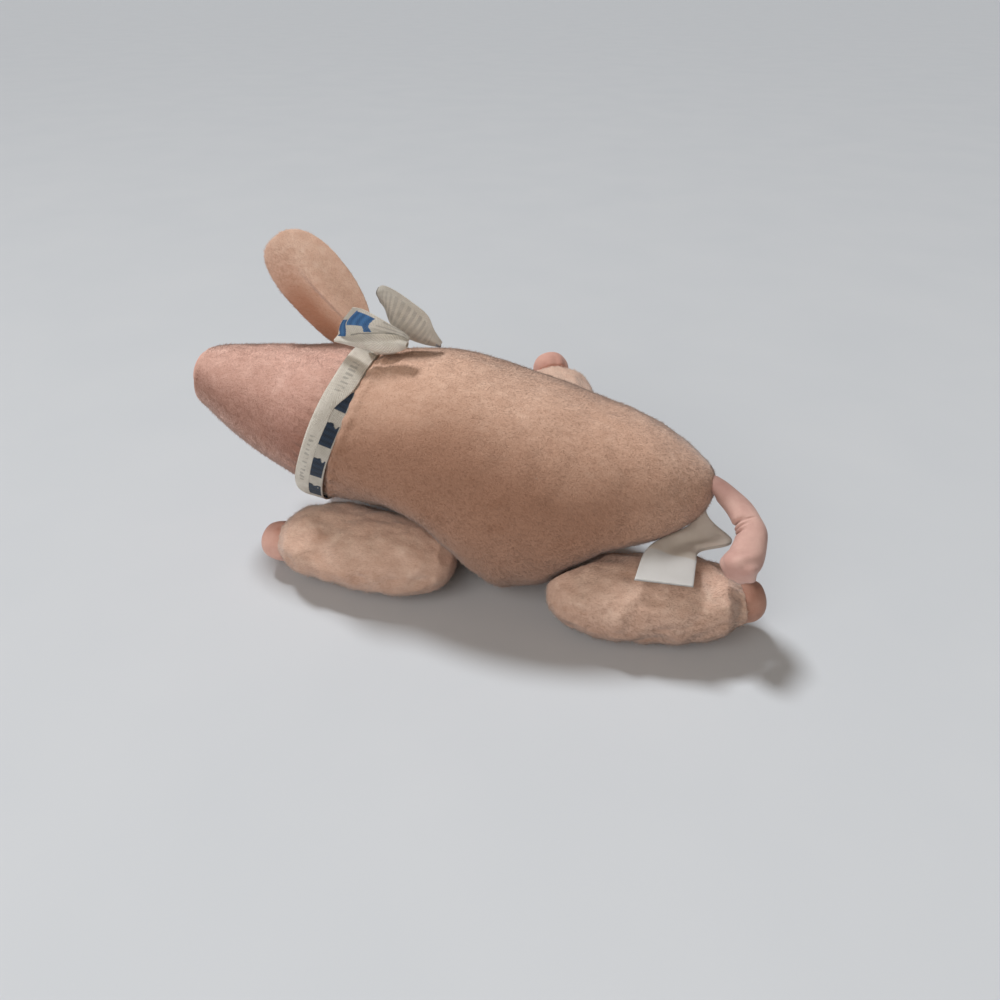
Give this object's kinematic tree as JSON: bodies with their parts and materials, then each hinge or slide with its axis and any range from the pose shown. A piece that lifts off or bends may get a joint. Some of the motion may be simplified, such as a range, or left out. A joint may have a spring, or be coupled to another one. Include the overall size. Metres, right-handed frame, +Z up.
{
  "type": "plush pig",
  "caption": "Small floppy plush pig lying on its belly, with stuffed pouch legs, smooth hoofs, soft ears, a curled cloth tail, a checked neck ribbon and a blank label.",
  "frame": {"origin": "on the floor under the middle of the bounding box", "axes": "+Z up, nose towards -X, tail towards +X, the pig's left side towards -Y"},
  "size_m": [0.1899, 0.1162, 0.1034],
  "materials": {
    "plush": "short peach-pink plush pile",
    "smooth_pink_cloth": "smooth pink knitted cloth",
    "ribbon_cloth": "off-white woven ribbon with blue checks",
    "stuffing": "loose polyester fibre",
    "pellets": "small round plastic beads",
    "black_bead": "glossy",
    "label_tape": "smooth white satin tape"
  },
  "bodies": {
    "body": {"body_cover": "plush", "body_filling": "stuffing", "neck_ribbon": "ribbon_cloth", "ribbon_knot": "ribbon_cloth", "ribbon_left_tail": "ribbon_cloth", "ribbon_right_tail": "ribbon_cloth"},
    "head": {"head_cover": "plush", "head_filling": "stuffing", "snout_pad": "smooth_pink_cloth", "left_eye": "black_bead", "left_nostril": "black_bead", "right_eye": "black_bead", "right_nostril": "black_bead"},
    "left_ear": {"left_ear": "plush", "left_ear_lining": "smooth_pink_cloth"},
    "right_ear": {"right_ear": "plush", "right_ear_lining": "smooth_pink_cloth"},
    "left_foreleg": {"left_foreleg_cover": "plush", "left_foreleg_pellets": "pellets", "left_foreleg_hoof": "smooth_pink_cloth"},
    "right_foreleg": {"right_foreleg_cover": "plush", "right_foreleg_pellets": "pellets", "right_foreleg_hoof": "smooth_pink_cloth"},
    "left_hind_leg": {"left_hind_leg_cover": "plush", "left_hind_leg_pellets": "pellets", "left_hind_leg_hoof": "smooth_pink_cloth"},
    "right_hind_leg": {"right_hind_leg_cover": "plush", "right_hind_leg_pellets": "pellets", "right_hind_leg_hoof": "smooth_pink_cloth"},
    "tail": {"tail": "smooth_pink_cloth"},
    "label": {"label": "label_tape"}
  },
  "joints": [
    {"name": "neck_twist", "type": "hinge", "parent": "body", "child": "head", "pos_m": [-0.04329, -0.01855, 0.047], "axis": [-0.9397, 0, 0.342], "range_deg": [-8, 8], "stiffness_Nm_per_rad": 0.1},
    {"name": "left_ear_fold", "type": "hinge", "parent": "head", "child": "left_ear", "pos_m": [-0.04129, -0.00631, 0.06861], "axis": [-0.766, 0, -0.6428], "range_deg": [-25, 25], "stiffness_Nm_per_rad": 0.02},
    {"name": "right_ear_lift", "type": "hinge", "parent": "head", "child": "right_ear", "pos_m": [-0.05065, 0.00659, 0.04601], "axis": [0, 0, -1], "range_deg": [0, 60]},
    {"name": "left_foreleg_swing", "type": "hinge", "parent": "body", "child": "left_foreleg", "pos_m": [-0.00029, -0.04055, 0], "axis": [0, 0, 1], "range_deg": [0, 60]},
    {"name": "right_foreleg_swing", "type": "hinge", "parent": "body", "child": "right_foreleg", "pos_m": [-0.00029, 0.00345, 0], "axis": [0, 0, -1], "range_deg": [0, 60]},
    {"name": "left_hind_leg_swing", "type": "hinge", "parent": "body", "child": "left_hind_leg", "pos_m": [0.02971, -0.04605, 0], "axis": [0, 0, -1], "range_deg": [0, 60]},
    {"name": "right_hind_leg_swing", "type": "hinge", "parent": "body", "child": "right_hind_leg", "pos_m": [0.02971, 0.00895, 0], "axis": [0, 0, -1], "range_deg": [0, 60]},
    {"name": "tail_swing", "type": "hinge", "parent": "body", "child": "tail", "pos_m": [0.07271, -0.01855, 0.042], "axis": [0, 0, 1], "range_deg": [0, 60], "stiffness_Nm_per_rad": 0.01},
    {"name": "label_lift", "type": "hinge", "parent": "body", "child": "label", "pos_m": [0.07271, -0.02355, 0.0345], "axis": [-1, 0, 0], "range_deg": [0, 15]}
  ]
}
